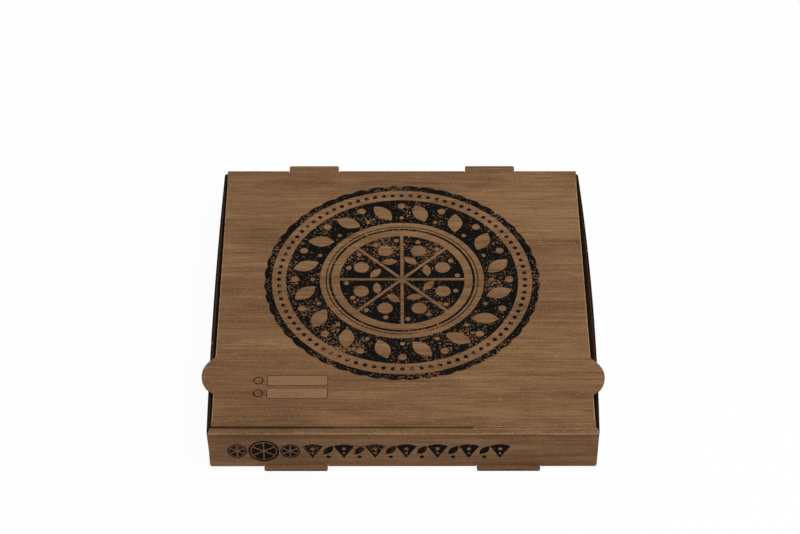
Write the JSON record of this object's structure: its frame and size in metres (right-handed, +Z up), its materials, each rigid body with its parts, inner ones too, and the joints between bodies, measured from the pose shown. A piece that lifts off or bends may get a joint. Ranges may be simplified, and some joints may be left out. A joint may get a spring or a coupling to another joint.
{
  "type": "pizza box",
  "caption": "Square corrugated board pizza box, closed, with a rolled front wall, a hinged lid with half-round ears, and back tabs.",
  "frame": {"origin": "middle of the tray's underside, on the table", "axes": "+X to the right seen from the front wall, +Y from the front wall to the hinge, +Z up"},
  "size_m": [0.3476, 0.3418, 0.041],
  "materials": {
    "kraft_board": "matt brown kraft liner with fine streaks across the box, fluted raw edges"
  },
  "bodies": {
    "tray": {"tray": "kraft_board"},
    "lid": {"lid": "kraft_board"}
  },
  "joints": [
    {"name": "lid_hinge", "type": "hinge", "parent": "tray", "child": "lid", "pos_m": [0, 0.1642, 0.0402], "axis": [-1, 0, 0], "range_deg": [0, 180]}
  ]
}
